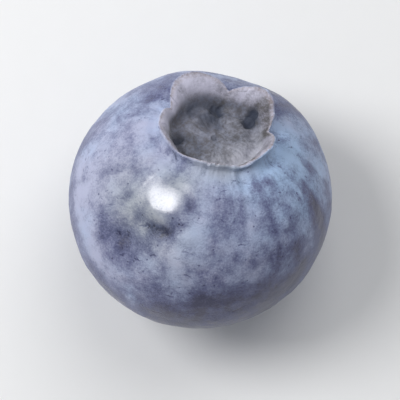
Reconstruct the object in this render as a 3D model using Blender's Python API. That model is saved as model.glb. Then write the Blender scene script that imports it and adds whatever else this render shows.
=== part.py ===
"""One ripe bilberry, as picked, leaning on the small flat spot that it rests on.

It is a single body: round skin, a five-lobed crown round a sunken disc, and a stem scar below.
The half-section from the crown's axis to the stem scar is turned once round the berry while it
blends between its shape in a notch and its shape in a lobe, so the lobes grow out of the skin.
"""

import math

import bmesh
import bpy
from mathutils import Matrix, Vector
from mathutils.geometry import interpolate_bezier

MM = 0.001

# The berry, in millimetres. Heights are measured along its axis from the widest ring.
BELLY_RADIUS = 6.85
SUMMIT = 6.05
FOOT = 5.85
FULLNESS = 2.15

# The crown: a wall round a cup, which rises from the saddle and is lower in its notches. Sizes
# and flares run round it from the far right lobe by the near side, and scale the rise and spread.
# Azimuths are seen from above the crown, from the far side round to the right.
LOBES = 5
NOTCH_AZIMUTH = math.radians(-7.0)
CUP_RADIUS = 2.14
WALL = 0.72
DISC_HEIGHT = 5.20
GROOVE_DEPTH = 0.22
NOTCH_HEIGHT = 5.90
LOBE_RISE = 0.62
LOBE_SPREAD = 0.46
SADDLE_RADIUS = 3.40
SADDLE_HEIGHT = 5.28
LOBE_SIZES = (1.06, 1.00, 0.58, 0.92, 1.12)
LOBE_FLARES = (1.40, 0.65, -0.10, 0.80, 1.55)

# The cup isn't quite round: this share narrower on its near right side.
NARROWING = 0.09
NARROW_AZIMUTH = math.radians(150.0)
NARROW_SPREAD = math.radians(42.0)

# The stem scar: a shallow dimple with a dry round pad in it.
DIMPLE_RADIUS = 2.10
DIMPLE_DEPTH = 0.42
SCAR_RADIUS = 0.95

# Five soft ribs run down from the lobes, and the whole is a little uneven.
RIB_HEIGHT = 0.10
UNEVENNESS = 0.07

# A puckered dent in the skin: its place as seen from the crown, its half-width and its depth.
DENT_POLAR = math.radians(64.0)
DENT_AZIMUTH = math.radians(-160.0)
DENT_SPREAD = math.radians(14.0)
DENT_DEPTH = 0.38

# How it lies: the crown leans back and a little to the right. The belly's middle is held a little
# lower than the skin reaches, so the floor presses a small flat spot round the origin.
LEAN = math.radians(29.4)
HEADING = math.radians(18.1)
BELLY_PLACE = (-0.29, -0.82, 5.88)

# Fineness of the mesh.
SEGMENTS = 70
CROWN_STEPS = 3
SKIN_RINGS = 24
STEM_STEPS = 2


def skin_height(radius, pole):
    """Height of the skin over a radius, on a full oval of the given pole height."""
    return pole * (1.0 - (radius / BELLY_RADIUS) ** FULLNESS) ** (1.0 / FULLNESS)


def crown_section(azimuth):
    """(radius, height) from the axis out to the skin, through the crown's wall at an azimuth."""
    lip = NOTCH_HEIGHT + LOBE_RISE * lobe_share(azimuth, LOBE_SIZES)
    out = LOBE_SPREAD * lobe_share(azimuth, LOBE_FLARES)
    aside = (azimuth - NARROW_AZIMUTH) / NARROW_SPREAD
    narrow = 1.0 - NARROWING * math.exp(-aside * aside)
    cup = CUP_RADIUS * narrow
    return [
        (0.00, DISC_HEIGHT - 0.14),
        (0.22, DISC_HEIGHT - 0.10),
        (0.45, DISC_HEIGHT + 0.06),
        (0.90 * narrow, DISC_HEIGHT),
        (1.36 * narrow, DISC_HEIGHT + 0.02),
        (1.72 * narrow, DISC_HEIGHT - 0.07),
        (1.98 * narrow, DISC_HEIGHT - GROOVE_DEPTH),
        (cup - 0.05, DISC_HEIGHT - 0.10),
        (cup + 0.04 + 0.22 * out, 0.5 * (DISC_HEIGHT + lip) - 0.05),
        (cup + 0.08 + 0.62 * out, lip - 0.20),
        (cup + 0.50 * WALL + out, lip),
        (cup + WALL + out, lip - 0.24),
        (cup + WALL + 0.08 + 0.40 * out, 0.5 * (SADDLE_HEIGHT + lip) - 0.10),
        (SADDLE_RADIUS, SADDLE_HEIGHT),
        (SADDLE_RADIUS + 0.55, skin_height(SADDLE_RADIUS + 0.55, SUMMIT)),
    ]


def skin_section():
    """(radius, height) down the skin, from outside the crown to outside the stem dimple."""
    top = math.acos(((SADDLE_RADIUS + 0.55) / BELLY_RADIUS) ** (FULLNESS / 2.0))
    foot = math.acos(((DIMPLE_RADIUS + 0.70) / BELLY_RADIUS) ** (FULLNESS / 2.0))
    points = []
    for ring in range(1, SKIN_RINGS):
        angle = top - (top + foot) * ring / SKIN_RINGS
        radius = BELLY_RADIUS * math.cos(angle) ** (2.0 / FULLNESS)
        pole = SUMMIT if angle >= 0.0 else -FOOT
        points.append((radius, skin_height(radius, pole)))
    return points


def stem_section():
    """(radius, height) from the skin into the dimple and over the stem scar to the axis."""
    outer = DIMPLE_RADIUS + 0.70
    floor = DIMPLE_DEPTH - FOOT
    return [
        (outer, skin_height(outer, -FOOT)),
        (DIMPLE_RADIUS, 0.06 - FOOT),
        (1.45, 0.55 * DIMPLE_DEPTH - FOOT),
        (SCAR_RADIUS + 0.12, floor),
        (SCAR_RADIUS - 0.12, floor - 0.14),
        (0.45, floor - 0.02),
        (0.00, floor + 0.04),
    ]


def smooth(points, steps):
    """The points with a smooth curve run through them, in the given steps between each two."""
    keys = [Vector((x, y, 0.0)) for x, y in points]
    ends = [keys[0], *keys, keys[-1]]
    slopes = [(ends[i + 2] - ends[i]).normalized() for i in range(len(keys))]
    line = []
    for a, b, slope_a, slope_b in zip(keys, keys[1:], slopes, slopes[1:]):
        reach = (b - a).length / 3.0
        run = interpolate_bezier(a, a + slope_a * reach, b - slope_b * reach, b, steps + 1)
        line += [(p.x, p.y) for p in run[:-1]]
    return [*line, points[-1]]


def half_section(azimuth):
    """The whole half-section, from the crown's middle to the stem scar's middle."""
    crown = smooth(crown_section(azimuth), CROWN_STEPS)
    return crown + skin_section() + smooth(stem_section(), STEM_STEPS)


def lobe_share(azimuth, shares):
    """0 in a notch, and the lobe's own share in the middle of a lobe."""
    turn = ((azimuth - NOTCH_AZIMUTH) / math.tau) % 1.0 * LOBES
    return shares[int(turn) % LOBES] * abs(math.sin(math.pi * turn)) ** 0.75


def swell(direction):
    """How far the skin stands out of its plain oval in this direction, in millimetres."""
    azimuth = math.atan2(direction.x, direction.y)
    height = direction.z
    shoulder = 4.0 * max(0.0, height) ** 2 * (1.0 - height * height)
    rib = -RIB_HEIGHT * math.cos(LOBES * azimuth) * shoulder
    uneven = math.sin(2.0 * azimuth + 0.7) * (1.0 - height * height)
    uneven += 0.6 * math.sin(3.0 * azimuth - 1.1 + 2.0 * height) * (1.0 - height * height)
    dent = Vector(
        (
            math.sin(DENT_POLAR) * math.sin(DENT_AZIMUTH),
            math.sin(DENT_POLAR) * math.cos(DENT_AZIMUTH),
            math.cos(DENT_POLAR),
        )
    )
    away = direction.angle(dent) / DENT_SPREAD
    return rib + UNEVENNESS * uneven - DENT_DEPTH * math.exp(-away * away)


def berry_mesh():
    """The closed berry round the origin, with its crown up."""
    azimuths = [NOTCH_AZIMUTH + math.tau * column / SEGMENTS for column in range(SEGMENTS)]
    sections = [half_section(azimuth) for azimuth in azimuths]
    rings = len(sections[0])
    mesh = bmesh.new()
    bmesh.ops.create_grid(mesh, x_segments=SEGMENTS, y_segments=rings - 1, size=0.5)
    for vert in mesh.verts:
        column = round((vert.co.x + 0.5) * SEGMENTS) % SEGMENTS
        row = round((vert.co.y + 0.5) * (rings - 1))
        azimuth = azimuths[column]
        radius, height = sections[column][row]
        place = Vector((radius * math.sin(azimuth), radius * math.cos(azimuth), height))
        place += place.normalized() * swell(place.normalized())
        vert.co = place * MM
    bmesh.ops.remove_doubles(mesh, verts=mesh.verts, dist=0.001 * MM)
    bmesh.ops.recalc_face_normals(mesh, faces=mesh.faces)
    return mesh


def lay_down(mesh):
    """Leans the berry over the floor and cuts off the little that reaches below it."""
    turn = Matrix.Rotation(-HEADING, 4, "Z") @ Matrix.Rotation(-LEAN, 4, "X")
    place = Matrix.Translation(Vector(BELLY_PLACE) * MM)
    bmesh.ops.transform(mesh, matrix=place @ turn, verts=mesh.verts)
    cut = bmesh.ops.bisect_plane(
        mesh,
        geom=[*mesh.verts, *mesh.edges, *mesh.faces],
        plane_co=(0.0, 0.0, 0.0),
        plane_no=(0.0, 0.0, -1.0),
        clear_outer=True,
    )
    rim = [part for part in cut["geom_cut"] if isinstance(part, bmesh.types.BMEdge)]
    bmesh.ops.edgeloop_fill(mesh, edges=rim)
    bmesh.ops.recalc_face_normals(mesh, faces=mesh.faces)


def finish(name, colour, roughness):
    """A plain material."""
    material = bpy.data.materials.new(name)
    material.use_nodes = True
    shader = material.node_tree.nodes["Principled BSDF"]
    shader.inputs["Base Color"].default_value = (*colour, 1.0)
    shader.inputs["Roughness"].default_value = roughness
    shader.inputs["Metallic"].default_value = 0.0
    return material


def main():
    for old in list(bpy.data.objects):
        bpy.data.objects.remove(old, do_unlink=True)
    mesh = berry_mesh()
    lay_down(mesh)
    data = bpy.data.meshes.new("bilberry_fruit")
    mesh.to_mesh(data)
    mesh.free()
    data.shade_smooth()
    data.set_sharp_from_angle(angle=math.radians(50.0))
    data.materials.append(finish("bloomed_skin", (0.17, 0.20, 0.33), 0.55))
    berry = bpy.data.objects.new("bilberry_fruit", data)
    group = bpy.data.collections.new("bilberry")
    bpy.context.scene.collection.children.link(group)
    group.objects.link(berry)


main()
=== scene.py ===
"""The looks of one ripe bilberry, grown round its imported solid, on a plain pale stage.

The fruit is one fine mesh: skin, crown, cup, disc and stem scar run into each other as on the real
berry. Its form repeats the solid's, with thinner lobes and with relief down to a tenth of a
millimetre. Lengths are in millimetres inside the script and in metres in the panel.
"""

import math
from dataclasses import dataclass

import bpy
import numpy as np
from bpy.props import FloatProperty, FloatVectorProperty, IntProperty, PointerProperty
from bpy.types import Operator, Panel, PropertyGroup
from mathutils import Matrix, Vector, noise


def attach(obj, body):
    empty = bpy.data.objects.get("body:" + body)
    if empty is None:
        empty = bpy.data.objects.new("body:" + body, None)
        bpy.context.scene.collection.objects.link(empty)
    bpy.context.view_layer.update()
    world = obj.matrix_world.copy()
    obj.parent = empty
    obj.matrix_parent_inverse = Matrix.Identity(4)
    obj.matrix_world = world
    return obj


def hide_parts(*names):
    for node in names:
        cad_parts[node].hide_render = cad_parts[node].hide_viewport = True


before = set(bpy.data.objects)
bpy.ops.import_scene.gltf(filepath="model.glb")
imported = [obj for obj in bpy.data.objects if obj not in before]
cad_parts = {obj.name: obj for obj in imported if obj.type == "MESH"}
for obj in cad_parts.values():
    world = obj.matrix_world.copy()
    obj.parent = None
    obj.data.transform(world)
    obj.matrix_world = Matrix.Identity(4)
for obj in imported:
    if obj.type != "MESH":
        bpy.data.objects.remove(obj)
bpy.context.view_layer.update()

bl_info = {
    "name": "Bilberry",
    "version": (1, 0, 0),
    "blender": (4, 5, 0),
    "location": "3D View > Sidebar > Bilberry",
    "description": "A ripe bilberry with its bloom, crown and stem scar, on a plain stage",
    "category": "Add Mesh",
}

NODE = "bilberry_fruit"
BODY = "root"
MM = 1000.0

# The lobes stand evenly round the crown, with a notch at this azimuth.
LOBES = 5
NOTCH_AZIMUTH = math.radians(-7.0)

# The cup isn't quite round: this share narrower round a place on its near right side.
NARROWING = 0.09
NARROW_DEGREES = 150.0
NARROW_SPREAD = math.radians(42.0)

# How far the crown's and the stem end's own sections run out over the skin, in millimetres.
SADDLE_RUN = 0.55
DIMPLE_RUN = 0.70

# Where along crown_keys and stem_keys the parts of the crown and the scar begin, and how many
# rings the mesh has between each two keys.
GROOVE_KEY, WALL_KEY, LIP_KEY, SADDLE_KEY = 9, 11, 14, 18
SCAR_KEY = 4
CROWN_STEPS, STEM_STEPS = 5, 5

# The order of the materials on the mesh.
SKIN_FINISH, CUP_FINISH, SCAR_FINISH = 0, 1, 2

# Where each stamen broke off: degrees round the cup from the far side, millimetres from its
# middle, and how deep the scar is, from 0 to 1. The deepest goes down by SCAR_DEPTH.
STAMEN_SCARS = (
    (-14, 1.74, 1.00), (36, 2.22, 0.95), (70, 2.02, 0.30), (104, 1.92, 0.40), (138, 1.84, 0.25),
    (172, 1.90, 0.30), (-150, 1.88, 0.30), (-115, 1.93, 0.70), (-86, 1.94, 0.10), (-53, 1.92, 0.36),
)
SCAR_DEPTH = 0.20

# The rings of torn tissue on the stem scar, in millimetres from its middle.
TORN_RIM, TORN_RING = 0.86, 0.44

# The small chance dimples of the skin, each turned on from the last by an angle that never
# brings two together.
SMALL_DIMPLES = 14
DIMPLE_TURN = 137.5

# Heights and depths of the fine relief, in millimetres: of the skin, of the wall's inside and
# outside, of the disc, and of the stem scar.
FINE_LUMPS, SMALL_DIMPLE_DEPTH, CREASE_DEPTH = 0.012, 0.035, 0.035
WALL_WAVES, WALL_VEINS = 0.035, 0.016
NOTCH_CREASE, BACK_FIBRES = 0.09, 0.016
DISC_RAYS, DISC_GRAIN = 0.070, 0.022
SCAR_GRAIN, SCAR_CRACKS, TORN_HEIGHT = 0.035, 0.05, 0.07

# The relief stands on a skin this much inside the solid's, so that no lump rises out of it.
INSET = 0.06

# The pucker in the dent: the place that its creases run out from, in degrees from the crown and
# round it from the far side.
PUCKER = (62.0, -161.0)

# Soft patches of the skin, each given by its strength and its place: degrees from the crown,
# degrees round it from the far side, half-width in degrees, stretch and turn.
# The first are the pucker's pits and ridges and the crease beside the crown, in millimetres.
PUCKER_FORMS = (
    (-0.26, 58, -170.5, 4.4, 1.6, 8), (-0.19, 70.5, -151.5, 4.8, 1.2, 30),
    (0.09, 58, 180, 3, 2.2, -24), (0.04, 62.5, -158.5, 3, 1.3, 60),
    (-0.035, 41, -113, 2.4, 3.6),
)

# The small patch above the dent where the skin is rubbed smooth.
POLISHED_PATCH = (44, -162.5, 14)

# Where the bloom is thicker or thinner than all round, and where the skin is lightened by painted
# light or darkened by painted shade.
BLOOM_AND_LIGHT_PATCHES = (
    # The left flank, paler partly as painted light, a painted reflection along its bright edge, and
    # the crease beside the crown.
    (0.30, 64, -119, 27), (0.34, 31, -104, 12), (0.42, 76, -121, 6.5, 2.8, 27),
    (0.36, 92, -147, 6, 2.8, 27), (0.26, 86, -159, 6, 1.6), (0.26, 31, -145, 7),
    (-0.20, 41, -113, 2.4, 3.6), (-0.22, 68, -139, 8, 2.4, 27), (-0.34, 45, -132, 6),
    (-0.16, 54, -124, 5), (-0.18, 96, -158, 14, 1.5, 20), (-0.40, 40, -67, 6, 1.2),
    (0.26, 56, -98, 7), (-0.22, 73.5, -141, 4.5, 1.8, 60), (0.18, 69, -120, 6, 1.6, 60),
    (0.26, 57, -136, 4.5), (-0.14, 84, -134, 5), (0.16, 88, -145, 5), (0.16, 72, -146, 4),
    # The bluer right flank, with painted shade along its edge.
    (0.26, 42, 90, 24), (0.34, 42, 60, 11), (0.22, 34, 58, 6), (0.20, 47, 100, 5),
    (-0.36, 64, 95, 5, 4, 90), (-0.24, 49, 82, 5), (-0.16, 47, 116, 4.5), (-0.24, 38, 118, 6),
    (-0.16, 64, 117, 9, 1.8, 70), (-0.28, 85, 115, 5, 3.5, -36),
    (-0.18, 34, 116, 3.5),
    # In front of the crown: a bright rim that is painted light against the lip's shadow, and dark
    # smears under it that are partly painted shade.
    (0.24, 33, 140, 8, 2.4), (0.34, 25, 147, 4.5, 3), (0.16, 36, 175, 10, 2),
    (-0.36, 36, 160, 6, 1.3), (-0.50, 40.5, -179, 3.4, 1.9, 80), (0.12, 34.5, -168, 3),
    (-0.20, 44, 152, 8, 1.3),
    # Round the glint: a painted glow beside it, and painted shade that trims its tail.
    (0.22, 37, -160.5, 3), (-0.18, 43, -147, 3.2), (-0.12, 38.5, -151, 3.5),
    # The dent: two pits darkened with painted shade, the ridge between and below them lightened
    # with painted light, and its dull bowl.
    (-0.18, 56, -156, 13, 1.5, 10), (-0.46, 57.5, -171, 4.4, 1.7, 8),
    (-0.42, 71, -152, 5, 1.3, 30), (0.46, 57.5, 179.5, 3.6, 2, -24),
    (0.24, 51.5, 174, 3.6, 1.3, -60), (0.30, 62, -159.5, 3.2, 1.3, 60),
    (0.58, 53.5, -164, 3.6, 1.4), (0.34, 65, -179, 4.5, 1.8), (0.30, 74, 178, 4.5, 2.8, 72),
    (0.14, 70.5, -167, 4.5),
    # The mottled middle, and thinner bloom near the floor, darkened further with painted shade.
    (0.18, 52, 130, 6, 1.3), (0.22, 59, 158, 5), (0.18, 76, 168, 7, 1.8),
    (0.24, 75, 140, 8, 1.5, 30), (0.16, 81, 137, 7), (0.20, 88, 178, 6), (-0.20, 86, 166, 5),
    (-0.32, 86, 164, 8, 2.4, 10), (-0.22, 98, 163, 8, 2), (-0.34, 104, 136, 28),
    (-0.32, 120, 176, 15, 4),
    # Rubbed places on the back.
    (-0.30, 120, 30, 20, 1.6, 40), (-0.26, 96, -64, 13, 1.8, -30), (-0.24, 70, 20, 10, 2.2, 70),
)

# Where the bloom is sky blue, or less so.
SKY_PATCHES = (
    (0.85, 38, 88, 24), (0.35, 110, 0, 40), (0.40, 58, 100, 13, 1.5, 90), (-0.30, 70, -128, 32),
)

# Where the bloom is greyer: handled bloom in the dent and in two places in front of the crown, the
# last of which, beside the glint, is a painted sheen round it.
GREY_AND_SHEEN_PATCHES = ((1.10, 56, -155, 16, 1.4, 20), (0.75, 22, 160, 7, 1.8), (0.70, 36, -166, 9))

# Where the bloom inside the crown is thinner, partly as painted shade on the wall's shaded side:
# degrees round it from the far side, half-width in degrees, and by how much.
BARE_AND_SHADED_WALL = ((62, 22, 0.40), (26, 16, 0.46), (-9, 15, 0.66))

# A painted shade on the disc, whose form stays flat there: millimetres from its middle to the right
# and to the far side.
DISC_SHADE_PLACE = (-1.00, 1.10)

# Roughness of the polished patch.
POLISHED = 0.28

# The lamps: the way to each from the berry (right, up in the picture, and to the camera), and
# its distance and width in metres.
LAMPS = {
    "key_lamp": ((-0.55, 0.27, 0.79), 0.15, 0.070),
    "soft_box": ((0.24, 0.62, 0.76), 0.30, 0.240),
    "side_lamp": ((-0.90, 0.34, 0.26), 0.20, 0.120),
}
AIR_COLOUR = (0.93, 0.96, 1.0, 1.0)

# Half the width of the floor, in metres.
FLOOR_REACH = 1.2


def length(name, description, millimetres):
    """A size in the panel, in metres."""
    return FloatProperty(
        name=name, description=description, default=millimetres / MM, unit="LENGTH", precision=5
    )


def angle(name, description, degrees):
    """An angle in the panel, from degrees."""
    return FloatProperty(
        name=name, description=description, default=math.radians(degrees), subtype="ANGLE"
    )


def colour(name, description, default):
    """A colour in the panel."""
    return FloatVectorProperty(
        name=name, description=description, default=default, subtype="COLOR", min=0.0, max=1.0
    )


def each_lobe(name, description, default):
    """A number for each lobe in the panel."""
    return FloatVectorProperty(name=name, description=description, default=default, size=LOBES)


def power(name, description, default):
    """A lamp's power in the panel, in watts."""
    return FloatProperty(
        name=name, description=description, default=default, unit="POWER", precision=3, min=0.0
    )


class FruitShape(PropertyGroup):
    """The round of the berry, and how it lies."""

    belly_radius: length("Belly radius", "Half of the berry's width", 6.85)
    summit: length("Summit", "Height of the skin's own top over the belly", 6.05)
    foot: length("Foot", "Depth of the skin's own bottom under the belly", 5.85)
    fullness: FloatProperty(
        name="Fullness", description="2 is an ellipse, and more is squarer", default=2.15, min=1.5
    )
    rib_height: length("Rib height", "How far the five soft ribs stand out", 0.10)
    unevenness: length("Unevenness", "How far the round wanders", 0.07)
    lumps: length("Lumps", "Height of the small lumps all over the skin", 0.050)
    folds: length("Folds", "Height of the fine folds that run out from the crown", 0.030)
    lean: angle("Lean", "How far the crown leans from upright", 29.4)
    heading: angle("Heading", "How far the lean turns to the right", 18.1)
    belly_place: FloatVectorProperty(
        name="Belly place",
        description="Where the belly's middle lies over the flat spot",
        default=(-0.00029, -0.00082, 0.00588),
        unit="LENGTH",
        precision=5,
    )
    columns: IntProperty(
        name="Columns", description="Mesh columns round the berry", default=320, min=40
    )
    rings: IntProperty(
        name="Skin rings", description="Mesh rings down the skin", default=150, min=20
    )


class CrownShape(PropertyGroup):
    """The wall with its lobes, the cup inside it and the disc."""

    cup_radius: length("Cup radius", "Inside of the wall, at its foot", 2.26)
    edge: length("Lip thickness", "Thickness of the wall at its lip", 0.28)
    wall: length("Wall thickness", "Thickness of the wall at its foot", 0.56)
    disc_height: length("Disc height", "Height of the disc over the belly", 5.20)
    groove_depth: length("Groove depth", "Depth of the groove round the disc", 0.18)
    notch_height: length("Notch height", "Height of the lip in its notches", 5.84)
    lobe_rise: length("Lobe rise", "How far the lobes rise over the notches", 0.60)
    lobe_spread: length("Lobe spread", "How far the lobes lean outwards", 0.46)
    saddle_radius: length("Saddle radius", "Where the wall's foot meets the skin", 3.40)
    saddle_height: length("Saddle height", "Height of that place over the belly", 5.28)
    lobe_sizes: each_lobe(
        "Lobe sizes", "Size of each lobe, from the far right round by the near side",
        (1.06, 1.00, 0.52, 0.90, 1.12),
    )
    lobe_flares: each_lobe(
        "Lobe flares", "How far each lobe leans out, in the same order",
        (1.30, 0.65, -0.15, 0.80, 1.55),
    )


class StemEnd(PropertyGroup):
    """The dimple where the stalk sat, and its dry scar."""

    dimple_radius: length("Dimple radius", "Radius of the dimple", 2.10)
    dimple_depth: length("Dimple depth", "Depth of the dimple", 0.42)
    scar_radius: length("Scar radius", "Radius of the dry pad", 0.95)


class DentShape(PropertyGroup):
    """The puckered dent in the skin."""

    polar: angle("From the crown", "Angle between the crown and the dent", 64.0)
    azimuth: angle("Round the berry", "Where the dent lies round the berry", -160.0)
    spread: angle("Spread", "Half-width of the dent", 14.0)
    depth: length("Depth", "Depth of the dent", 0.38)


class Finish(PropertyGroup):
    """Colours of the skin, the crown, the scar and the floor."""

    bare_skin: colour("Bare skin", "Skin where the bloom is rubbed off", (0.016, 0.016, 0.072))
    thin_bloom: colour("Thin bloom", "Skin under a thin bloom", (0.088, 0.098, 0.212))
    lilac_bloom: colour("Lilac bloom", "Thick bloom on the paler side", (0.405, 0.425, 0.582))
    sky_bloom: colour("Sky bloom", "Thick bloom on the bluer side", (0.365, 0.500, 0.720))
    # Grey bloom also serves as the painted sheen beside the glint.
    grey_bloom_and_sheen: colour("Grey bloom", "Bloom that was handled", (0.365, 0.387, 0.412))
    grey_skin: colour("Grey skin", "Skin under handled bloom", (0.098, 0.118, 0.188))
    grey_bare: colour("Grey bare skin", "Bare skin in the dent", (0.02156, 0.02596, 0.04136))
    dry_edge: colour("Dry edge", "Dried edge of the lobes", (0.230, 0.180, 0.170))
    # The colour of the painted shade in the cup's groove and low parts.
    cup_shade_colour: colour("Cup dark", "Deep parts of the cup", (0.024, 0.032, 0.058))
    disc_dull: colour("Disc dull", "Duller parts of the disc", (0.070, 0.066, 0.070))
    disc_cool: colour("Disc cool", "Fibres on the far side of the disc", (0.132, 0.150, 0.208))
    disc_pale: colour("Disc pale", "Fibres on its paler side", (0.470, 0.474, 0.545))
    lobe_thin: colour("Lobe thin", "Thin bloom inside the lobes", (0.250, 0.245, 0.300))
    lobe_pale: colour("Lobe pale", "Thick bloom inside the lobes", (0.560, 0.548, 0.675))
    scar_pale: colour("Scar pale", "Dry pad of the stem scar", (0.420, 0.330, 0.210))
    scar_dark: colour("Scar dark", "Cracks in the stem scar", (0.110, 0.074, 0.055))
    scar_torn: colour("Scar torn", "Torn edges of the stem scar", (0.600, 0.500, 0.360))
    floor: colour("Floor", "Pale floor", (0.810, 0.810, 0.810))


class Studio(PropertyGroup):
    """Camera and lamps."""

    elevation: angle("Camera elevation", "How steeply the camera looks down", 80.0)
    distance: length("Camera distance", "From the berry's middle", 190.0)
    frame_width: length("Frame width", "What the picture's width takes in at the berry", 20.6)
    key_lamp: power("Key lamp", "Power of the small lamp that makes the glint", 0.13)
    soft_box: power("Soft box", "Power of the large lamp", 0.34)
    side_lamp: power("Side lamp", "Power of the lamp on the left", 0.085)
    ambient: FloatProperty(
        name="Ambient", description="Strength of the light from all round", default=0.28, min=0.0
    )


def smooth_step(low, high, value):
    """0 below low, 1 above high, and smooth between."""
    t = np.clip((value - low) / (high - low), 0.0, 1.0)
    return t * t * (3.0 - 2.0 * t)


def bell(value, width):
    """1 at 0, and smoothly 0 a few widths away."""
    return np.exp(-((value / width) ** 2))


def fractal(points, per_mm, octaves, shift):
    """Smooth noise of about -1 to 1 at each point, with per_mm waves to a millimetre."""
    away = Vector((shift, 2.0 * shift, -shift))
    flat = points.reshape(-1, 3).tolist()
    values = [noise.fractal(Vector(p) * per_mm + away, 0.9, 2.1, octaves) for p in flat]
    return np.array(values).reshape(points.shape[:-1])


def pointing(polar, azimuth):
    """The direction at an angle from the crown, turned round it from the far side to the right."""
    flat = math.sin(polar)
    return np.array([flat * math.sin(azimuth), flat * math.cos(azimuth), math.cos(polar)])


def lobe_place(azimuth):
    """Which lobe each azimuth is in, and how far through it."""
    turn = ((azimuth - NOTCH_AZIMUTH) / math.tau) % 1.0 * LOBES
    return turn.astype(int) % LOBES, turn % 1.0


def lobe_share(azimuth, sizes, fullness):
    """0 in a notch, and the lobe's own size in the middle of a lobe."""
    lobe, through = lobe_place(azimuth)
    return np.array(sizes)[lobe] * np.sin(math.pi * through) ** fullness


def smooth_line(keys, steps):
    """Runs a smooth curve through each column's keys, in the given steps between each two."""
    ends = np.concatenate([keys[:, :1], keys, keys[:, -1:]], axis=1)
    slope = ends[:, 2:] - ends[:, :-2]
    slope = slope / np.linalg.norm(slope, axis=-1, keepdims=True)
    a, b = keys[:, :-1], keys[:, 1:]
    reach = np.linalg.norm(b - a, axis=-1, keepdims=True) / 3.0
    out, back = a + slope[:, :-1] * reach, b - slope[:, 1:] * reach
    t = (np.arange(steps) / steps)[:, None]
    a, out, back, b = (points[:, :, None, :] for points in (a, out, back, b))
    line = (1 - t) ** 3 * a + 3 * (1 - t) ** 2 * t * out + 3 * (1 - t) * t * t * back + t**3 * b
    return line.reshape(len(keys), -1, 2)


def as_keys(pairs, columns):
    """(columns, keys, 2) from (radius, height) pairs, each a number or one value a column."""
    return np.stack(
        [np.stack([np.broadcast_to(value, columns) for value in pair], axis=-1) for pair in pairs],
        axis=1,
    )


def skin_height(shape, radius, pole):
    """Height of the skin over a radius, on a full oval of the given pole height."""
    full = 1.0 - (radius / (shape.belly_radius * MM)) ** shape.fullness
    return pole * MM * full ** (1.0 / shape.fullness)


def turned_from(azimuth, degrees):
    """The angle from a place round the cup, from -pi to pi."""
    return (azimuth - math.radians(degrees) + math.pi) % math.tau - math.pi


def crown_keys(shape, crown, azimuth):
    """Half-section of the crown, from the axis out to the skin, one for each azimuth."""
    narrow = 1.0 - NARROWING * bell(turned_from(azimuth, NARROW_DEGREES), NARROW_SPREAD)
    cup, edge, wall = crown.cup_radius * MM * narrow, crown.edge * MM, crown.wall * MM
    disc, groove = crown.disc_height * MM, crown.groove_depth * MM
    saddle_r, saddle_z = crown.saddle_radius * MM, crown.saddle_height * MM
    circle = np.stack([3.0 * np.sin(azimuth), 3.0 * np.cos(azimuth), 0.0 * azimuth], axis=-1)
    ragged = fractal(circle, 1.1, 4, 51.0)
    nick = smooth_step(0.30, 0.55, fractal(circle, 2.2, 2, 61.0))
    lobe = lobe_share(azimuth, crown.lobe_sizes, 0.80)
    lip = crown.notch_height * MM + crown.lobe_rise * MM * lobe
    lip = lip + (0.06 * ragged - 0.09 * nick) * np.minimum(1.0, 2.0 * lobe)
    out = crown.lobe_spread * MM * lobe_share(azimuth, crown.lobe_flares, 0.9) + 0.05 * ragged
    edge = edge * (1.0 + 0.25 * fractal(circle, 0.8, 2, 71.0))
    skin_r = saddle_r + SADDLE_RUN
    pairs = [
        # The style's scar, and the disc round it.
        (0.00, disc - 0.17),
        (0.13, disc - 0.15),
        (0.23, disc - 0.05),
        (0.35, disc - 0.06),
        (0.70, disc - 0.10),
        (1.05 * narrow, disc - 0.04),
        (1.36 * narrow, disc + 0.02),
        (1.62 * narrow, disc - 0.01),
        # The groove.
        (1.84 * narrow, disc - 0.60 * groove),
        (2.02 * narrow, disc - groove),
        (2.15 * narrow, disc - 0.60 * groove),
        # The wall's inside, its lip and its outside.
        (cup, disc + 0.06),
        (cup + 0.12 + 0.22 * out, 0.5 * (disc + lip) - 0.02),
        (cup + 0.20 + 0.62 * out, lip - 0.20),
        (cup + 0.24 + 0.50 * edge + out, lip),
        (cup + 0.26 + edge + out, lip - 0.10),
        (cup + 0.26 + edge + 0.78 * out, lip - 0.30),
        (cup + wall + 0.30 * out, 0.5 * (saddle_z + lip) - 0.06),
        # The saddle, and the skin.
        (saddle_r - 0.26, saddle_z + 0.05),
        (saddle_r + 0.12, saddle_z - 0.02),
        (skin_r, skin_height(shape, skin_r, shape.summit)),
    ]
    return as_keys(pairs, len(azimuth))


def skin_line(shape, crown, stem):
    """The skin's own line, from outside the crown to outside the stem dimple."""
    belly = shape.belly_radius * MM
    half = shape.fullness / 2.0
    top = math.acos(((crown.saddle_radius * MM + SADDLE_RUN) / belly) ** half)
    foot = math.acos(((stem.dimple_radius * MM + DIMPLE_RUN) / belly) ** half)
    turn = top - (top + foot) * np.arange(shape.rings) / shape.rings
    radius = belly * np.cos(turn) ** (1.0 / half)
    pole = np.where(turn >= 0.0, shape.summit, -shape.foot)
    line = np.stack([radius, skin_height(shape, radius, pole)], axis=-1)
    return np.broadcast_to(line, (shape.columns, *line.shape))


def stem_keys(shape, stem):
    """Half-section of the stem end, from the skin to the middle of the scar."""
    dimple, scar = stem.dimple_radius * MM, stem.scar_radius * MM
    outer = dimple + DIMPLE_RUN
    foot = shape.foot * MM
    floor = stem.dimple_depth * MM - foot
    pairs = [
        # The skin, and the folds of the dimple.
        (outer, skin_height(shape, outer, -shape.foot)),
        (dimple + 0.15, 0.27 - foot),
        (dimple - 0.35, 0.22 - foot),
        (scar + 0.45, 0.27 - foot),
        # The dry pad, which stands up in its middle.
        (scar + 0.14, floor + 0.02),
        (scar, floor - 0.06),
        (scar - 0.16, floor - 0.14),
        (0.45, floor - 0.02),
        (0.15, floor + 0.06),
        (0.00, floor + 0.10),
    ]
    return as_keys(pairs, shape.columns)


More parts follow.
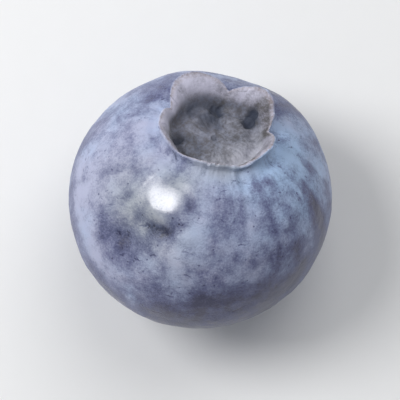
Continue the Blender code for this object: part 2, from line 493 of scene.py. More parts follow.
def swell(shape, dent, toward):
    """How far the skin stands out of its plain oval in each direction, in millimetres."""
    azimuth = np.arctan2(toward[..., 0], toward[..., 1])
    height = toward[..., 2]
    belt = 1.0 - height * height
    shoulder = 4.0 * np.maximum(0.0, height) ** 2 * belt
    rib = -shape.rib_height * MM * np.cos(LOBES * azimuth) * shoulder
    uneven = np.sin(2.0 * azimuth + 0.7) * belt
    uneven += 0.6 * np.sin(3.0 * azimuth - 1.1 + 2.0 * height) * belt
    away = np.arccos(np.clip(toward @ pointing(dent.polar, dent.azimuth), -1.0, 1.0))
    sunk = dent.depth * MM * bell(away, dent.spread) * (1.0 - polish(toward))
    return rib + shape.unevenness * MM * uneven - sunk


@dataclass
class Rings:
    """The fruit as columns that run from the crown's middle to the scar's middle.

    key counts crown_keys, stem_key counts stem_keys, and through is the place in a lobe. cup is
    1 inside the crown, and scar is 1 on the dry pad.
    """

    azimuth: np.ndarray
    key: np.ndarray
    stem_key: np.ndarray
    radius: np.ndarray
    height: np.ndarray
    place: np.ndarray
    toward: np.ndarray
    through: np.ndarray
    cup: np.ndarray
    scar: np.ndarray

    @property
    def skin(self):
        """1 on the skin, and 0 inside the crown and on the dry pad."""
        return (1.0 - self.cup) * (1.0 - self.scar)


def plain_rings(settings):
    """The fruit's plain form, before its relief."""
    shape, crown, stem = settings.shape, settings.crown, settings.stem
    azimuth = math.tau * np.arange(shape.columns) / shape.columns
    top = smooth_line(crown_keys(shape, crown, azimuth), CROWN_STEPS)
    skin = skin_line(shape, crown, stem)
    keys = stem_keys(shape, stem)
    foot = np.concatenate([smooth_line(keys, STEM_STEPS), keys[:, -1:]], axis=1)
    line = np.concatenate([top, skin, foot], axis=1)
    ones = np.ones(line.shape[:2])
    count = np.arange(line.shape[1])
    key = np.minimum(count / CROWN_STEPS, SADDLE_KEY + 2.0) * ones
    stem_key = (count - top.shape[1] - skin.shape[1]) / STEM_STEPS * ones
    radius, height = line[..., 0], line[..., 1]
    blade = smooth_step(WALL_KEY, LIP_KEY, key) * (1.0 - smooth_step(LIP_KEY, SADDLE_KEY, key))
    skew = 0.07 * np.sin(2.0 * azimuth + 0.6) + 0.04 * np.sin(5.0 * azimuth + 2.0)
    turned = azimuth[:, None] + skew[:, None] * blade
    place = np.stack([radius * np.sin(turned), radius * np.cos(turned), height], axis=-1)
    toward = place / np.linalg.norm(place, axis=-1, keepdims=True)
    place = place + toward * swell(shape, settings.dent, toward)[..., None]
    return Rings(
        azimuth=azimuth[:, None] * ones,
        key=key,
        stem_key=stem_key,
        radius=radius,
        height=height,
        place=place,
        toward=toward,
        through=lobe_place(azimuth)[1][:, None] * ones,
        cup=1.0 - smooth_step(LIP_KEY - 0.5, LIP_KEY + 0.3, key),
        scar=smooth_step(SCAR_KEY - 0.4, SCAR_KEY + 0.6, stem_key),
    )


def axes_at(polar, azimuth):
    """A place's direction and, square to it, the ways across and down the berry."""
    middle = pointing(polar, azimuth)
    down = pointing(polar + math.pi / 2.0, azimuth)
    return middle, np.cross(middle, down), down


def spot(toward, polar, azimuth, size, stretch=1.0, turn=0.0):
    """1 in the middle of a soft round or long patch of the skin, and 0 away from it."""
    polar, azimuth, size, turn = (math.radians(value) for value in (polar, azimuth, size, turn))
    middle, across, down = axes_at(polar, azimuth)
    x, y = toward @ across, toward @ down
    along = (math.cos(turn) * x + math.sin(turn) * y) / stretch
    over = math.cos(turn) * y - math.sin(turn) * x
    return np.exp(-(along**2 + over**2) / size**2) * (toward @ middle > 0.0)


def patches(toward, places):
    """The sum of soft patches, each given by its strength and then as for spot."""
    return sum(strength * spot(toward, *place) for strength, *place in places)


def polish(toward):
    """1 on the small round patch above the dent where the skin is rubbed smooth."""
    return smooth_step(0.15, 0.80, spot(toward, *POLISHED_PATCH))


def along_meridians(rings, round_it, down_it):
    """Places for noise that runs in streaks from the crown to the stem end."""
    polar = np.arccos(np.clip(rings.toward[..., 2], -1.0, 1.0))
    sides = (round_it * np.sin(rings.azimuth), round_it * np.cos(rings.azimuth), down_it * polar)
    return np.stack(sides, axis=-1)


def skin_relief(shape, rings):
    """Lumps all over, folds that run out from the crown, and small chance dimples."""
    rough = 1.0 - 0.95 * polish(rings.toward)
    lumps = shape.lumps * MM * fractal(rings.place, 0.45, 3, 3.0) * (0.35 + 0.65 * rings.skin)
    lumps = (lumps + FINE_LUMPS * fractal(rings.place, 1.7, 3, 11.0)) * rough
    shoulder = rings.skin * smooth_step(6.0, 3.2, rings.radius) * (rings.height > 0.0)
    folds = fractal(along_meridians(rings, 3.6, 0.5), 1.0, 3, 5.0)
    folds = (folds - 0.7 * bell(folds, 0.16)) * rough
    foot = rings.skin * smooth_step(4.6, 2.4, rings.radius) * (rings.height < 0.0)
    relief = lumps + shape.folds * MM * folds * (shoulder + 0.8 * foot)
    for number in range(SMALL_DIMPLES):
        polar = math.degrees(math.acos(1.0 - 1.85 * (number + 0.7) / SMALL_DIMPLES))
        azimuth = DIMPLE_TURN * number + 31.0 * math.sin(5.0 * number)
        size = 2.6 + 1.6 * math.sin(3.0 * number)
        dimple = spot(rings.toward, polar, azimuth, size, 1.5, 40.0 * number)
        relief -= SMALL_DIMPLE_DEPTH * dimple * rings.skin
    return relief


def dent_relief(rings):
    """The pucker in the dent: two pits, the ridges by them and creases round them."""
    toward = rings.toward
    middle, across, down = axes_at(*(math.radians(value) for value in PUCKER))
    bearing = np.arctan2(toward @ across, toward @ down)
    away = np.degrees(np.arccos(np.clip(toward @ middle, -1.0, 1.0)))
    wander = fractal(rings.place, 0.9, 2, 13.0)
    creases = bell(np.sin(3.5 * bearing + 1.6 * wander + 0.6), 0.22)
    creases = creases * smooth_step(2.0, 7.0, away) * bell(away, 17.0) * (1.0 - polish(toward))
    return (patches(toward, PUCKER_FORMS) - CREASE_DEPTH * creases) * rings.skin


def crown_relief(rings):
    """Veins and notches of the wall, and the fine grain and rays of the disc."""
    key, azimuth = rings.key, rings.azimuth
    wave = np.cos(2.0 * LOBES * azimuth + 0.6 * np.sin(3.0 * azimuth))
    inside = smooth_step(GROOVE_KEY - 2.0, GROOVE_KEY + 0.5, key)
    inside = inside * (1.0 - smooth_step(LIP_KEY - 2.0, LIP_KEY, key))
    relief = WALL_WAVES * wave * inside

    wander = 2.2 * np.sin(5.0 * azimuth) + 2.4 * fractal(rings.place, 1.2, 2, 8.0)
    fine_veins = fractal(along_meridians(rings, 13.0, 0.8), 1.0, 3, 9.0)
    blade = smooth_step(WALL_KEY, WALL_KEY + 1.5, key)
    blade = blade * (1.0 - smooth_step(LIP_KEY - 0.7, LIP_KEY, key))
    relief += WALL_VEINS * (0.4 * np.cos(36.0 * azimuth + wander) + fine_veins) * blade

    back = smooth_step(LIP_KEY + 0.5, LIP_KEY + 2.0, key)
    back = back * (1.0 - smooth_step(SADDLE_KEY, SADDLE_KEY + 2.0, key))
    from_notch = np.minimum(rings.through, 1.0 - rings.through)
    relief -= NOTCH_CREASE * bell(from_notch, 0.07) * back
    relief += BACK_FIBRES * fractal(along_meridians(rings, 8.0, 0.6), 1.0, 2, 17.0) * back

    disc = 1.0 - smooth_step(GROOVE_KEY - 1.0, GROOVE_KEY + 0.5, key)
    rays = fractal(along_meridians(rings, 3.4, 2.0), 1.0, 3, 19.0)
    rays = rays * smooth_step(0.4, 1.1, rings.radius)
    relief += (DISC_RAYS * rays + DISC_GRAIN * fractal(rings.place, 3.6, 3, 21.0)) * disc
    return relief


def stamen_scars(rings):
    """Ten small ragged pits in the groove, and the painted shade that runs in from each."""
    pits = np.zeros_like(rings.radius)
    scar_shade = np.zeros_like(rings.radius)
    aslant = 0.22 * fractal(rings.place, 1.9, 3, 47.0)
    ragged = 0.22 * fractal(rings.place, 1.9, 3, 53.0)
    for turn, out, depth in STAMEN_SCARS:
        aside = turned_from(rings.azimuth, turn) * rings.radius
        width = 0.12 + 0.27 * depth
        pits += depth * bell(aside + aslant, width) * bell(rings.radius - out + ragged, width)
        inward = bell(rings.radius - out + 0.45 + ragged, 0.75)
        scar_shade += depth * bell(aside + aslant, 0.15 + width) * inward
    pits = 0.45 * pits + 0.55 * smooth_step(0.15, 0.95, pits)
    return np.clip(pits, 0.0, 1.0) * rings.cup, np.clip(scar_shade, 0.0, 1.0) * rings.cup


def torn_edge(rings):
    """1 on the torn rim of the dry pad, on the ring inside it and on the stub in its middle."""
    frayed = np.clip(0.75 + 0.9 * fractal(rings.place, 2.6, 3, 37.0), 0.0, 1.0)
    rim = bell(rings.radius - TORN_RIM, 0.09)
    ring = 0.75 * bell(rings.radius - TORN_RING, 0.07)
    stub = 0.80 * bell(rings.radius, 0.10)
    return (rim + ring + stub) * frayed * rings.scar


def scar_relief(rings):
    """Torn fibres, grains and cracks of the dry pad."""
    grain = fractal(rings.place, 6.0, 2, 31.0)
    bend = 2.5 * fractal(rings.place, 1.5, 2, 41.0)
    cracks = 1.0 - smooth_step(0.0, 0.35, np.abs(np.cos(9.0 * rings.azimuth + bend)))
    cracks = cracks * bell(rings.radius - 0.62, 0.20)
    return (SCAR_GRAIN * grain - SCAR_CRACKS * cracks + TORN_HEIGHT * torn_edge(rings)) * rings.scar


def normals_of(place):
    """Outward directions of a grid that runs round the berry and down from the crown."""
    round_it = np.roll(place, -1, axis=0) - np.roll(place, 1, axis=0)
    down_it = np.gradient(place, axis=1)
    out = np.cross(down_it, round_it)
    size = np.linalg.norm(out, axis=-1, keepdims=True)
    out = np.where(size > 1e-9, out / np.maximum(size, 1e-9), 0.0)
    return -out if (out * place).sum() < 0 else out


def bloom_cover_and_light(rings, rim):
    """How thick the bloom lies, 0 where it is rubbed off and 1 where it is whole, with painted
    light and painted shade worked into it.
    """
    round_scar = bell(rings.radius - 1.25, 0.40) * (rings.height < 0.0)
    cover = 0.58 + patches(rings.toward, BLOOM_AND_LIGHT_PATCHES) - 0.26 * round_scar + 0.16 * rim
    # Inside the crown it is thickest on the far left, as painted light on the lit far wall, and
    # thinned in places, partly as painted shade.
    inside = 0.60 + 0.42 * np.cos(turned_from(rings.azimuth, -30.0))
    inside += 0.42 * bell(turned_from(rings.azimuth, -82.0), math.radians(30.0))
    for turn, width, share in BARE_AND_SHADED_WALL:
        inside -= share * bell(turned_from(rings.azimuth, turn), math.radians(width))
    return np.clip(cover * (1.0 - rings.cup) + inside * rings.cup, 0.0, 1.1)


def sky_share(toward):
    """0 where the bloom is lilac, 1 where it is sky blue."""
    return np.clip(0.28 + patches(toward, SKY_PATCHES), 0.0, 1.0)


def grey_and_sheen_share(toward):
    """1 where handling has left a greyer bloom, and beside the glint where the grey is a painted
    sheen.
    """
    return np.clip(patches(toward, GREY_AND_SHEEN_PATCHES), 0.0, 1.0)


def disc_light(rings):
    """Where the disc is paler: its near right half, and a band in from the far side."""
    band = 0.26 * bell(turned_from(rings.azimuth, 32.0) * rings.radius, 0.45)
    near = smooth_step(0.0, 1.7, rings.radius * np.cos(turned_from(rings.azimuth, 125.0)))
    return np.clip(band + 0.9 * near, 0.0, 1.0)


def cup_shade_share(rings, scars, scar_shade):
    """How much painted shade darkens the cup's low parts: its groove, a flat place on the disc's
    far left, the stamen scars and the tissue inward of them, and the style's scar; the scars' own
    tissue is darker as well.
    """
    groove = smooth_step(GROOVE_KEY - 1.6, GROOVE_KEY, rings.key)
    groove = groove * (1.0 - smooth_step(GROOVE_KEY + 1.0, WALL_KEY + 1.2, rings.key))
    groove_shade = 0.18 - 0.07 * np.cos(turned_from(rings.azimuth, 95.0))
    to_right, to_far = rings.radius * np.sin(rings.azimuth), rings.radius * np.cos(rings.azimuth)
    disc_shade = 0.52 * bell(to_right - DISC_SHADE_PLACE[0], 0.75) * bell(to_far - DISC_SHADE_PLACE[1], 0.80)
    style = 0.70 * bell(rings.radius, 0.17)
    deep = groove_shade * groove + (disc_shade + style) * rings.cup + 0.55 * scars + 0.42 * scar_shade
    return np.clip(deep, 0.0, 1.0)


def streak_share(rings):
    """Streaks in the bloom, about 0.5 all over and bolder on the right flank."""
    streaks = fractal(along_meridians(rings, 4.2, 0.9), 1.0, 4, 23.0)
    return 0.5 + 0.5 * streaks * (1.0 + 1.6 * spot(rings.toward, 44.0, 96.0, 26.0))


def fruit_grid(settings):
    """The fruit's rings, its finished places and the masks that its colours follow."""
    rings = plain_rings(settings)
    scars, scar_shade = stamen_scars(rings)
    relief = skin_relief(settings.shape, rings) + dent_relief(rings) + crown_relief(rings)
    relief += scar_relief(rings) - SCAR_DEPTH * scars - INSET
    place = rings.place + normals_of(rings.place) * relief[..., None]
    rim = bell(rings.key - LIP_KEY, 1.1)
    masks = {
        "rim": rim,
        "lobe": smooth_step(WALL_KEY - 0.2, WALL_KEY + 1.6, rings.key) * rings.cup,
        "scar": rings.scar,
        "torn": torn_edge(rings),
        "deep": cup_shade_share(rings, scars, scar_shade),
        # The wax mask holds painted light and painted shade as well as the bloom's thickness.
        "wax": bloom_cover_and_light(rings, rim),
        "blue": sky_share(rings.toward),
        "dull": grey_and_sheen_share(rings.toward) * rings.skin,
        "light": disc_light(rings),
        "gloss": polish(rings.toward) * rings.skin,
        "streak": streak_share(rings),
    }
    return rings, place, masks


def press_flat(places, give=0.05):
    """Lifts what would reach below the floor onto it, with a soft edge."""
    z = places[:, 2]
    places[:, 2] = np.where(z > 4.0 * give, z, give * np.log1p(np.exp(np.minimum(z / give, 60.0))))
    places[:, 2] -= places[:, 2].min()
    return places


def node(tree, kind, settings=None, feeds=None):
    """A new node. Settings are its own properties, and feeds are values or sockets for inputs."""
    made = tree.nodes.new(kind)
    for name, value in (settings or {}).items():
        setattr(made, name, value)
    for name, value in (feeds or {}).items():
        if isinstance(value, bpy.types.NodeSocket):
            tree.links.new(value, made.inputs[name])
        else:
            made.inputs[name].default_value = value
    return made


def maths(tree, operation, first, second=0.0, third=0.0, clamp=False):
    """The result of a sum on numbers or sockets."""
    settings = {"operation": operation, "use_clamp": clamp}
    return node(tree, "ShaderNodeMath", settings, {0: first, 1: second, 2: third}).outputs[0]


def blend_colour(tree, share_of_second, first, second):
    """The first colour, turning to the second as the share goes from 0 to 1."""
    feeds = {0: share_of_second, 6: first, 7: second}
    return node(tree, "ShaderNodeMix", {"data_type": "RGBA"}, feeds).outputs[2]


def ramp(tree, value, low, high, start=0.0, end=1.0):
    """The value stretched smoothly from low..high to start..end."""
    feeds = {"Value": value, "From Min": low, "From Max": high, "To Min": start, "To Max": end}
    return node(tree, "ShaderNodeMapRange", {"interpolation_type": "SMOOTHSTEP"}, feeds).outputs[0]


def in_millimetres(tree):
    """The place on the fruit, in millimetres."""
    place = node(tree, "ShaderNodeTexCoord").outputs["Object"]
    feeds = {0: place, "Scale": MM}
    return node(tree, "ShaderNodeVectorMath", {"operation": "SCALE"}, feeds).outputs[0]


def noise_value(tree, place, per_mm, detail, roughness):
    """Noise round 0.5, with per_mm waves to a millimetre."""
    feeds = {"Vector": place, "Scale": per_mm, "Detail": detail, "Roughness": roughness}
    return node(tree, "ShaderNodeTexNoise", None, feeds).outputs[0]


def attribute(tree, name):
    """One of the masks that the mesh carries."""
    return node(tree, "ShaderNodeAttribute", {"attribute_name": name}).outputs["Fac"]


def new_group(name, inputs, outputs):
    """An empty shader node group with named sockets: {name: (kind, default)} and {name: kind}."""
    group = bpy.data.node_groups.new(name, "ShaderNodeTree")
    for label, (kind, default) in inputs.items():
        socket = group.interface.new_socket(name=label, in_out="INPUT", socket_type=kind)
        socket.default_value = default
    for label, kind in outputs.items():
        group.interface.new_socket(name=label, in_out="OUTPUT", socket_type=kind)
    return group, node(group, "NodeGroupInput").outputs, node(group, "NodeGroupOutput").inputs


def use_group(tree, group, feeds):
    """Places a node group with its own values, and gives its outputs."""
    return node(tree, "ShaderNodeGroup", {"node_tree": group}, feeds).outputs


NUMBER, COLOUR = "NodeSocketFloat", "NodeSocketColor"
WHITE = (1.0, 1.0, 1.0, 1.0)


def pore_mask(tree, place):
    """1 in small round pores, in some of the cells that the skin is divided into."""
    cells = node(tree, "ShaderNodeTexVoronoi", None, {"Vector": place, "Scale": 3.2}).outputs
    pores = ramp(tree, cells["Distance"], 0.08, 0.22, 1.0, 0.0)
    return maths(tree, "MULTIPLY", pores, ramp(tree, cells["Color"], 0.50, 0.85))


def scratch_mask(tree, place):
    """1 along fine scratches that run in three ways."""
    scratches = 0.0
    for turn, shift in (((0.4, 0.9, 0.5), 0.0), ((1.3, 0.2, 1.9), 7.0), ((0.2, 2.1, 0.9), 13.0)):
        feeds = {
            "Vector": place,
            "Location": (shift, shift, 0.0),
            "Rotation": turn,
            "Scale": (0.30, 4.2, 4.2),
        }
        long_place = node(tree, "ShaderNodeMapping", None, feeds).outputs[0]
        line = ramp(tree, noise_value(tree, long_place, 1.0, 2.0, 0.5), 0.67, 0.78)
        scratches = maths(tree, "MAXIMUM", line, scratches)
    return scratches


def bend_place(tree, place):
    """The place, pushed about so that patterns on it wander."""
    bend = node(tree, "ShaderNodeTexNoise", None, {"Vector": place, "Scale": 0.9, "Detail": 3.0})
    feeds = {0: bend.outputs["Color"], 1: (1.1, 1.1, 1.1), 2: place}
    return node(tree, "ShaderNodeVectorMath", {"operation": "MULTIPLY_ADD"}, feeds).outputs[0]


def wax_group():
    """Wax bloom: cloudy, speckled, streaked and rubbed off in spots, over a dark skin."""
    group, given, result = new_group(
        "Wax bloom",
        {
            "Bare": (COLOUR, WHITE),
            "Thin": (COLOUR, WHITE),
            "Thick": (COLOUR, WHITE),
            "Cover": (NUMBER, 0.6),
            "Streak": (NUMBER, 0.5),
            "Cloud": (NUMBER, 1.0),
            "Speckle": (NUMBER, 0.3),
        },
        {"Colour": COLOUR, "Roughness": NUMBER, "Height": NUMBER},
    )

    def vary(cover, value, amount):
        """The cover, thicker or thinner as the value is over or under a half."""
        return maths(group, "MULTIPLY_ADD", maths(group, "SUBTRACT", value, 0.5), amount, cover)

    def wear(cover, mask, amount):
        """The cover, thinner by an amount where the mask is 1."""
        return maths(group, "SUBTRACT", cover, maths(group, "MULTIPLY", mask, amount))

    place = in_millimetres(group)
    bent_place = bend_place(group, place)
    dust = noise_value(group, place, 10.0, 3.0, 0.70)
    cover = vary(given["Cover"], noise_value(group, place, 0.36, 4.0, 0.62), given["Cloud"])
    cover = vary(cover, noise_value(group, place, 1.5, 7.0, 0.74), 1.00)
    cover = vary(cover, dust, 0.60)
    cover = vary(cover, given["Streak"], 0.45)
    rubs = node(group, "ShaderNodeTexVoronoi", None, {"Vector": bent_place, "Scale": 0.36})
    cover = wear(cover, ramp(group, rubs.outputs["Distance"], 0.06, 0.40, 1.0, 0.0), 0.26)
    pores, scratches = pore_mask(group, place), scratch_mask(group, bent_place)
    cover = wear(cover, pores, given["Speckle"])
    cover = wear(cover, scratches, 0.26)

    shade = blend_colour(group, ramp(group, cover, 0.00, 0.45), given["Bare"], given["Thin"])
    shade = blend_colour(group, ramp(group, cover, 0.28, 1.02), shade, given["Thick"])
    group.links.new(shade, result["Colour"])
    group.links.new(ramp(group, cover, 0.05, 0.70, 0.30, 0.68), result["Roughness"])
    powder = maths(group, "MULTIPLY", dust, ramp(group, cover, 0.1, 0.6, 0.1, 0.8))
    height = maths(group, "MULTIPLY_ADD", maths(group, "MINIMUM", cover, 1.0), 0.6, powder)
    height = wear(wear(height, pores, 0.8), scratches, 0.4)
    group.links.new(height, result["Height"])
    return group


def tissue_group():
    """Dry plant tissue: fibres and grains between a dark and a pale colour."""
    group, given, result = new_group(
        "Dry tissue",
        {
            "Dark": (COLOUR, WHITE),
            "Pale": (COLOUR, WHITE),
            "Shade": (NUMBER, 0.0),
            "Scale": (NUMBER, 4.0),
        },
        {"Colour": COLOUR, "Roughness": NUMBER, "Height": NUMBER},
    )
    place = in_millimetres(group)
    coarse = noise_value(group, place, given["Scale"], 5.0, 0.7)
    fine = noise_value(group, place, maths(group, "MULTIPLY", given["Scale"], 4.0), 3.0, 0.6)
    mixed = maths(group, "MULTIPLY_ADD", coarse, 0.7, maths(group, "MULTIPLY", fine, 0.3))
    lit = maths(group, "SUBTRACT", ramp(group, mixed, 0.34, 0.64), given["Shade"], clamp=True)
    group.links.new(blend_colour(group, lit, given["Dark"], given["Pale"]), result["Colour"])
    group.links.new(ramp(group, mixed, 0.3, 0.7, 0.80, 0.62), result["Roughness"])
    group.links.new(mixed, result["Height"])
    return group


def material(name):
    """A new material's tree, with its Principled shader."""
    made = bpy.data.materials.new(name)
    made.use_nodes = True
    return made, made.node_tree, made.node_tree.nodes["Principled BSDF"]


def finish_surface(tree, shader, shade, roughness, height, strength, distance):
    """Wires a colour, a roughness and a bump, whose distance is in millimetres, to the shader."""
    tree.links.new(shade, shader.inputs["Base Color"])
    tree.links.new(roughness, shader.inputs["Roughness"])
    feeds = {"Height": height, "Strength": strength, "Distance": distance / MM}
    tree.links.new(node(tree, "ShaderNodeBump", None, feeds).outputs[0], shader.inputs["Normal"])


def opaque(values):
    """A colour of the panel, as a shader takes it."""
    return (*values, 1.0)


def dry_rim(tree, finish, tissue, shade):
    """The shade, turning to dry tissue along the lip of the lobes."""
    feeds = {
        "Dark": opaque(finish.dry_edge),
        "Pale": opaque(finish.lobe_pale),
        "Shade": 0.05,
        "Scale": 2.4,
    }
    edge = use_group(tree, tissue, feeds)["Colour"]
    return blend_colour(tree, ramp(tree, attribute(tree, "rim"), 0.60, 1.0, 0.0, 0.55), shade, edge)


def skin_material(finish, wax, tissue):
    """Bloomed skin, which runs up the outside of the lobes to their dry edge."""
    made, tree, shader = material("bloomed_skin")
    drift = maths(tree, "SUBTRACT", noise_value(tree, in_millimetres(tree), 0.5, 3.0, 0.6), 0.5)
    bluer = maths(tree, "MULTIPLY_ADD", drift, 1.4, attribute(tree, "blue"), clamp=True)
    thick = blend_colour(tree, bluer, opaque(finish.lilac_bloom), opaque(finish.sky_bloom))
    dull = maths(tree, "MULTIPLY", attribute(tree, "dull"), 0.85)
    thick = blend_colour(tree, dull, thick, opaque(finish.grey_bloom_and_sheen))
    thin = blend_colour(tree, dull, opaque(finish.thin_bloom), opaque(finish.grey_skin))
    bare = blend_colour(tree, dull, opaque(finish.bare_skin), opaque(finish.grey_bare))
    bloom = use_group(
        tree,
        wax,
        {
            "Bare": bare,
            "Thin": thin,
            "Thick": thick,
            "Cover": attribute(tree, "wax"),
            "Streak": attribute(tree, "streak"),
            "Cloud": 1.2,
            "Speckle": 0.35,
        },
    )
    shade = dry_rim(tree, finish, tissue, bloom["Colour"])
    gloss = attribute(tree, "gloss")
    rough_share = ramp(tree, gloss, 0.15, 0.70, 1.0, 0.0)
    rougher = maths(tree, "SUBTRACT", bloom["Roughness"], POLISHED)
    roughness = maths(tree, "MULTIPLY_ADD", rougher, rough_share, POLISHED)
    height = maths(tree, "MULTIPLY", bloom["Height"], rough_share)
    finish_surface(tree, shader, shade, roughness, height, strength=0.45, distance=0.07)
    shader.inputs["Specular IOR Level"].default_value = 0.50
    tree.links.new(ramp(tree, gloss, 0.15, 0.75, 0.06, 1.0), shader.inputs["Coat Weight"])
    shader.inputs["Coat Roughness"].default_value = 0.22
    shader.inputs["Coat IOR"].default_value = 1.6
    shader.inputs["Sheen Weight"].default_value = 0.22
    shader.inputs["Sheen Roughness"].default_value = 0.42
    shader.inputs["Sheen Tint"].default_value = (0.80, 0.84, 1.0, 1.0)
    return made


def cup_material(finish, wax, tissue):
    """Inside of the crown: pale lobes, a dull disc, and a groove with its stamen scars, darkened
    with painted shade.
    """
    made, tree, shader = material("calyx_cup")
    drift = maths(tree, "SUBTRACT", noise_value(tree, in_millimetres(tree), 1.1, 3.0, 0.6), 0.5)
    light = maths(tree, "MULTIPLY_ADD", drift, 1.2, attribute(tree, "light"), clamp=True)
    pale = blend_colour(tree, light, opaque(finish.disc_cool), opaque(finish.disc_pale))
    dark = blend_colour(tree, maths(tree, "MULTIPLY", light, 0.75), opaque(finish.disc_dull), pale)
    disc = use_group(tree, tissue, {"Dark": dark, "Pale": pale, "Shade": 0.1, "Scale": 1.5})
    bloom = use_group(
        tree,
        wax,
        {
            "Bare": opaque(finish.disc_dull),
            "Thin": opaque(finish.lobe_thin),
            "Thick": opaque(finish.lobe_pale),
            "Cover": attribute(tree, "wax"),
            "Streak": attribute(tree, "streak"),
            "Cloud": 0.8,
            "Speckle": 0.2,
        },
    )
    lobe = ramp(tree, attribute(tree, "lobe"), 0.0, 1.0, 0.12, 1.0)
    shade = blend_colour(tree, lobe, disc["Colour"], bloom["Colour"])
    # Painted shade: the groove, a place on the disc's far left and the stamen scars darken toward
    # the cup's shade colour.
    deep = maths(tree, "MULTIPLY_ADD", drift, -0.9, attribute(tree, "deep"))
    shade = blend_colour(tree, ramp(tree, deep, 0.05, 0.95), shade, opaque(finish.cup_shade_colour))
    shade = dry_rim(tree, finish, tissue, shade)
    rough, height = disc["Roughness"], disc["Height"]
    finish_surface(tree, shader, shade, rough, height, strength=0.45, distance=0.15)
    shader.inputs["Sheen Weight"].default_value = 0.15
    shader.inputs["Sheen Roughness"].default_value = 0.5
    return made


def scar_material(finish, tissue):
    """Dry tan pad where the stalk broke away."""
    made, tree, shader = material("stem_scar")
    feeds = {
        "Dark": opaque(finish.scar_dark),
        "Pale": opaque(finish.scar_pale),
        "Shade": 0.0,
        "Scale": 3.4,
    }
    pad = use_group(tree, tissue, feeds)
    torn = ramp(tree, attribute(tree, "torn"), 0.15, 0.80, 0.0, 0.85)
    shade = blend_colour(tree, torn, pad["Colour"], opaque(finish.scar_torn))
    tone = ramp(tree, attribute(tree, "scar"), 0.2, 1.0)
    shade = blend_colour(tree, tone, opaque(finish.bare_skin), shade)
    rough, height = pad["Roughness"], pad["Height"]
    finish_surface(tree, shader, shade, rough, height, strength=0.60, distance=0.20)
    shader.inputs["Specular IOR Level"].default_value = 0.3
    return made


def grid_mesh(name, places, columns, rings):
    """A closed mesh from a grid whose first and last ring each meet in one point."""
    grid = places.reshape(columns, rings, 3)
    count = rings - 2
    points = np.concatenate([grid[:, 1:-1].reshape(-1, 3), grid[:1, 0], grid[:1, -1]])
    c, r = np.meshgrid(np.arange(columns), np.arange(count - 1), indexing="ij")
    a, b = c * count + r, (c + 1) % columns * count + r
    quads = np.stack([a, b, b + 1, a + 1], axis=-1).reshape(-1, 4)
    ends = np.arange(columns)
    start, after = ends * count, (ends + 1) % columns * count
    crown_end, stem_end = np.full(columns, columns * count), np.full(columns, columns * count + 1)
    middle = np.stack([after, start, crown_end], axis=-1)
    tip = np.stack([start + count - 1, after + count - 1, stem_end], axis=-1)
    data = bpy.data.meshes.new(name)
    data.from_pydata(points.tolist(), [], [*quads.tolist(), *middle.tolist(), *tip.tolist()])
    return data


def point_values(values):
    """A mask's values in the order of grid_mesh's points."""
    return np.concatenate([values[:, 1:-1].ravel(), values[:1, 0], values[:1, -1]])


def face_slots(rings, columns):
    """Which material each face of grid_mesh has."""
    slots = np.full(rings.key.shape[1] - 1, SKIN_FINISH)
    slots[rings.key[0, :-1] < LIP_KEY] = CUP_FINISH
    slots[rings.stem_key[0, :-1] >= SCAR_KEY] = SCAR_FINISH
    ends = [CUP_FINISH] * columns + [SCAR_FINISH] * columns
    return np.tile(slots[1:-1], columns).tolist() + ends


class BILBERRY_OT_grow_fruit(Operator):
    """Grow the fruit: skin, crown, cup, disc and stem scar in one mesh"""

    bl_idname = "bilberry.grow_fruit"
    bl_label = "Grow fruit"

    def execute(self, context):
        settings = context.scene.bilberry
        shape = settings.shape
        rings, place, masks = fruit_grid(settings)
        columns, count = place.shape[:2]
        turn = Matrix.Rotation(-shape.heading, 3, "Z") @ Matrix.Rotation(-shape.lean, 3, "X")
        places = place.reshape(-1, 3) @ np.array(turn).T + np.array(shape.belly_place) * MM
        data = grid_mesh("fruit_surface", press_flat(places) / MM, columns, count)
        for name, values in masks.items():
            layer = data.attributes.new(name, "FLOAT", "POINT")
            layer.data.foreach_set("value", point_values(values).astype(np.float32))
        wax, tissue = wax_group(), tissue_group()
        data.materials.append(skin_material(settings.finish, wax, tissue))
        data.materials.append(cup_material(settings.finish, wax, tissue))
        data.materials.append(scar_material(settings.finish, tissue))
        data.polygons.foreach_set("material_index", face_slots(rings, columns))
        data.validate()
        data.shade_smooth()
        fruit = bpy.data.objects.new("fruit_surface", data)
        context.scene.collection.objects.link(fruit)
        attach(fruit, BODY)
        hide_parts(NODE)
        return {"FINISHED"}


class BILBERRY_OT_set_stage(Operator):
    """Set the stage: pale floor, soft lamps and the camera"""

    bl_idname = "bilberry.set_stage"
    bl_label = "Set stage"

    def execute(self, context):
        settings = context.scene.bilberry
        studio = settings.studio
        middle = Vector(settings.shape.belly_place)
        right = Vector((1.0, 0.0, 0.0))
        toward = Vector((0.0, -math.cos(studio.elevation), math.sin(studio.elevation)))
        up = Vector((0.0, math.sin(studio.elevation), math.cos(studio.elevation)))
        add_floor(context, settings.finish)
        add_camera(context, studio, middle, toward)
        for name, (shares, distance, width) in LAMPS.items():
            direction = shares[0] * right + shares[1] * up + shares[2] * toward
            add_lamp(context, name, middle, direction, distance, width, getattr(studio, name))
        world = bpy.data.worlds.new("studio_air")
        world.use_nodes = True
        air = world.node_tree.nodes["Background"].inputs
        air["Color"].default_value = AIR_COLOUR
        air["Strength"].default_value = studio.ambient
        context.scene.world = world
        context.scene.view_settings.view_transform = "Standard"
        return {"FINISHED"}


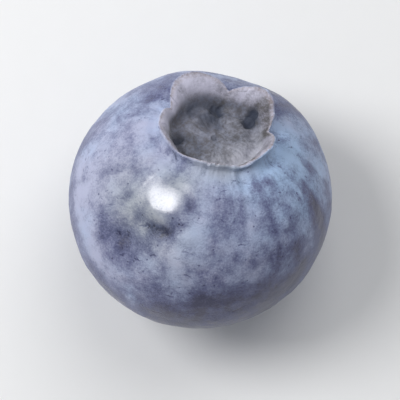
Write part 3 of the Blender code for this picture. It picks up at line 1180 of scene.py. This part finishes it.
def add_floor(context, finish):
    """A wide pale floor with a faint grain."""
    data = bpy.data.meshes.new("floor")
    corners = [Vector((x, y, 0.0)) for x, y in ((-1, -1), (1, -1), (1, 1), (-1, 1))]
    data.from_pydata([corner * FLOOR_REACH for corner in corners], [], [(0, 1, 2, 3)])
    made, tree, shader = material("pale_floor")
    grain = noise_value(tree, in_millimetres(tree), 0.8, 3.0, 0.5)
    paler = opaque([min(1.0, 1.02 * value) for value in finish.floor])
    shade = blend_colour(tree, grain, opaque(finish.floor), paler)
    tree.links.new(shade, shader.inputs["Base Color"])
    shader.inputs["Roughness"].default_value = 0.85
    data.materials.append(made)
    floor = bpy.data.objects.new("floor", data)
    context.scene.collection.objects.link(floor)


def add_camera(context, studio, middle, toward):
    """The camera, at its distance from the berry's middle and looking at it."""
    data = bpy.data.cameras.new("camera")
    data.sensor_width = 36.0
    data.lens = data.sensor_width * studio.distance / studio.frame_width
    data.clip_start = 0.005
    data.clip_end = 10.0
    camera = bpy.data.objects.new("camera", data)
    camera.location = middle + toward * studio.distance
    camera.rotation_euler = (-toward).to_track_quat("-Z", "Y").to_euler()
    context.scene.collection.objects.link(camera)
    context.scene.camera = camera


def add_lamp(context, name, middle, direction, distance, width, watts):
    """A round lamp that faces the berry from a direction, with its sizes in metres."""
    data = bpy.data.lights.new(name, "AREA")
    data.shape = "DISK"
    data.size = width
    data.energy = watts
    lamp = bpy.data.objects.new(name, data)
    direction = direction.normalized()
    lamp.location = middle + direction * distance
    lamp.rotation_euler = (-direction).to_track_quat("-Z", "Y").to_euler()
    context.scene.collection.objects.link(lamp)


class BilberrySettings(PropertyGroup):
    """All that the panel shows."""

    shape: PointerProperty(type=FruitShape)
    crown: PointerProperty(type=CrownShape)
    stem: PointerProperty(type=StemEnd)
    dent: PointerProperty(type=DentShape)
    finish: PointerProperty(type=Finish)
    studio: PointerProperty(type=Studio)


class BILBERRY_PT_panel(Panel):
    """Sizes and colours of the bilberry, and its operators"""

    bl_idname = "BILBERRY_PT_panel"
    bl_label = "Bilberry"
    bl_space_type = "VIEW_3D"
    bl_region_type = "UI"
    bl_category = "Bilberry"

    def draw(self, context):
        settings = context.scene.bilberry
        for part in ("shape", "crown", "stem", "dent", "finish", "studio"):
            group = getattr(settings, part)
            box = self.layout.box()
            box.label(text=part.capitalize())
            for name in group.bl_rna.properties.keys():
                if name not in ("rna_type", "name"):
                    box.prop(group, name)
        self.layout.operator("bilberry.grow_fruit")
        self.layout.operator("bilberry.set_stage")


CLASSES = (
    FruitShape,
    CrownShape,
    StemEnd,
    DentShape,
    Finish,
    Studio,
    BilberrySettings,
    BILBERRY_OT_grow_fruit,
    BILBERRY_OT_set_stage,
    BILBERRY_PT_panel,
)


def register():
    for item in CLASSES:
        bpy.utils.register_class(item)
    bpy.types.Scene.bilberry = PointerProperty(type=BilberrySettings)


def unregister():
    del bpy.types.Scene.bilberry
    for item in reversed(CLASSES):
        bpy.utils.unregister_class(item)


def main():
    register()
    bpy.ops.bilberry.grow_fruit()
    bpy.ops.bilberry.set_stage()


if __name__ == "__main__":
    main()
